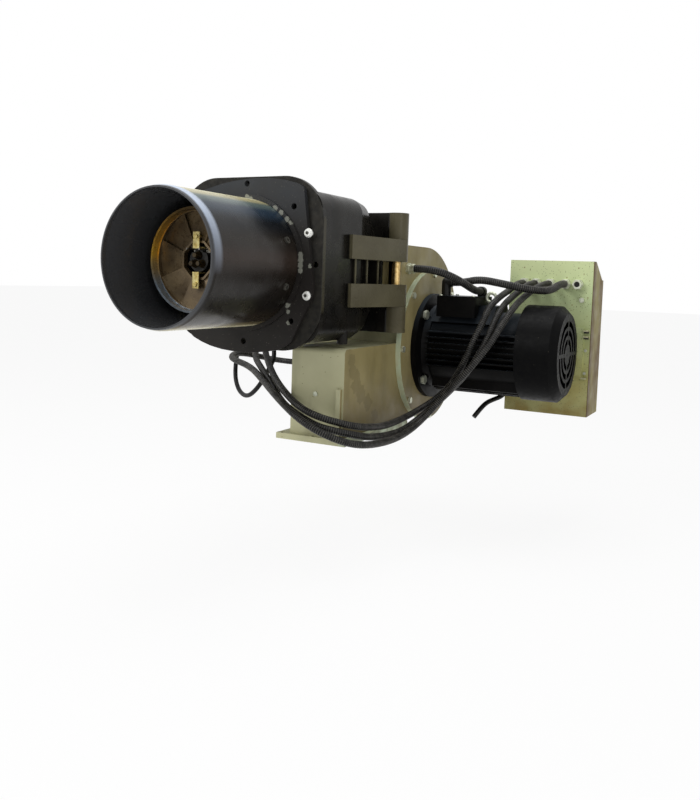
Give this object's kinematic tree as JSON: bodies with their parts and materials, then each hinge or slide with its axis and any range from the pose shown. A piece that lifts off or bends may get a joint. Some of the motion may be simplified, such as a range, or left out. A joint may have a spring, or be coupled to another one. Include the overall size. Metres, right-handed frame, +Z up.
{
  "type": "oil burner",
  "caption": "Boiler oil burner: round flame tube and flange, box casting, swing-out blower with finned motor, control box and looping conduits.",
  "frame": {"origin": "middle of the front face of the boiler flange, which is the centre of its bolt circle", "axes": "-Y along the flame, +X towards the motor, +Z up"},
  "size_m": [0.8229, 1.024, 0.5401],
  "materials": {
    "flange_steel": "worn gloss black paint over steel, chipped to bright metal at the holes",
    "tube_steel": "gloss black heat-resistant paint, browned by heat, bright lip",
    "zinc_steel": "zinc plated, slightly yellowed",
    "dull_screw": "blackened socket screws, worn grey",
    "pin_bronze": "bronze-coloured pin, lightly oiled",
    "gasket": "pressed fibre",
    "casting": "gloss black paint on an aluminium casting",
    "sensor_black": "moulded plastic",
    "head_steel": "pale gold heat-tinted steel",
    "diffuser_steel": "heat-tinted stainless steel",
    "nozzle_brass": "machined",
    "electrode_metal": "heat resistant wire",
    "ceramic": "glazed ceramic",
    "housing_paint": "satin beige paint",
    "motor_paint": "gloss black paint",
    "motor_core": "laminated steel",
    "fan_alloy": "as cast",
    "fan_plastic": "moulded plastic",
    "panel_paint": "speckled green-beige powder coat, worn brown on its right side",
    "hose_cover": "flexible conduit with a plastic cover",
    "cable_cover": "cable sheath"
  },
  "bodies": {
    "head": {"mounting_flange": "flange_steel", "flame_tube": "tube_steel", "tube_screws": "dull_screw", "flange_gasket": "gasket", "casting_screws": "zinc_steel", "head_casting": "casting", "flame_sensor": "sensor_black", "lance_spider": "head_steel", "hinge_pin": "pin_bronze"},
    "firing_head": {"nozzle_lance": "head_steel", "nozzle_holder": "head_steel", "oil_nozzles": "nozzle_brass", "diffuser_ring": "diffuser_steel", "diffuser_disc": "diffuser_steel", "head_brackets": "head_steel", "electrode_rods": "electrode_metal", "electrode_insulators": "ceramic"},
    "rotor": {"rotor_shaft": "zinc_steel", "rotor_core": "motor_core", "cooling_fan": "fan_plastic", "blower_wheel": "fan_alloy", "pump_coupling": "zinc_steel"},
    "air_flap": {"air_flap": "housing_paint"},
    "panel_door": {"panel_door": "panel_paint"},
    "blower": {"base_flange": "housing_paint", "blower_hose": "hose_cover", "conduit_one": "hose_cover", "conduit_three": "hose_cover", "conduit_two": "hose_cover", "cover_screws": "zinc_steel", "device_glands": "zinc_steel", "fan_cowl": "motor_paint", "hinge_frame": "casting", "ignition_transformer": "fan_plastic", "inlet_cone": "housing_paint", "intake_box": "housing_paint", "joint_gasket": "gasket", "lifting_eye": "zinc_steel", "loop_cable": "cable_cover", "motor_bolts": "zinc_steel", "motor_frame": "motor_paint", "motor_front_shield": "motor_paint", "motor_plate": "housing_paint", "motor_rear_shield": "motor_paint", "motor_stator": "motor_core", "oil_pump": "fan_alloy", "outlet_box": "housing_paint", "panel_box": "panel_paint", "panel_bracket": "panel_paint", "panel_cable": "cable_cover", "panel_glands": "zinc_steel", "plate_bolts": "zinc_steel", "scroll_housing": "housing_paint", "servo_motor": "fan_plastic", "solenoid_valves": "fan_plastic", "terminal_box": "motor_paint", "terminal_elbows": "sensor_black", "terminal_hose": "hose_cover", "terminal_lid": "motor_paint"}
  },
  "joints": [
    {"name": "head_slide", "type": "slide", "parent": "head", "child": "firing_head", "axis": [0, 1, 0], "range_m": [0, 0.02]},
    {"name": "blower_hinge", "type": "hinge", "parent": "head", "child": "blower", "pos_m": [0.18, 0.322, 0], "axis": [0, 0, -1], "range_deg": [0, 70]},
    {"name": "rotor_spin", "type": "hinge", "parent": "blower", "child": "rotor", "pos_m": [0, 0.516, -0.179], "axis": [1, 0, 0], "continuous": true},
    {"name": "flap_turn", "type": "hinge", "parent": "blower", "child": "air_flap", "pos_m": [0, 0.42, -0.262], "axis": [1, 0, 0], "range_deg": [0, 80]},
    {"name": "door_hinge", "type": "hinge", "parent": "blower", "child": "panel_door", "pos_m": [0.338, 0.747, -0.15], "axis": [0, 0, 1], "range_deg": [0, 110]}
  ]
}
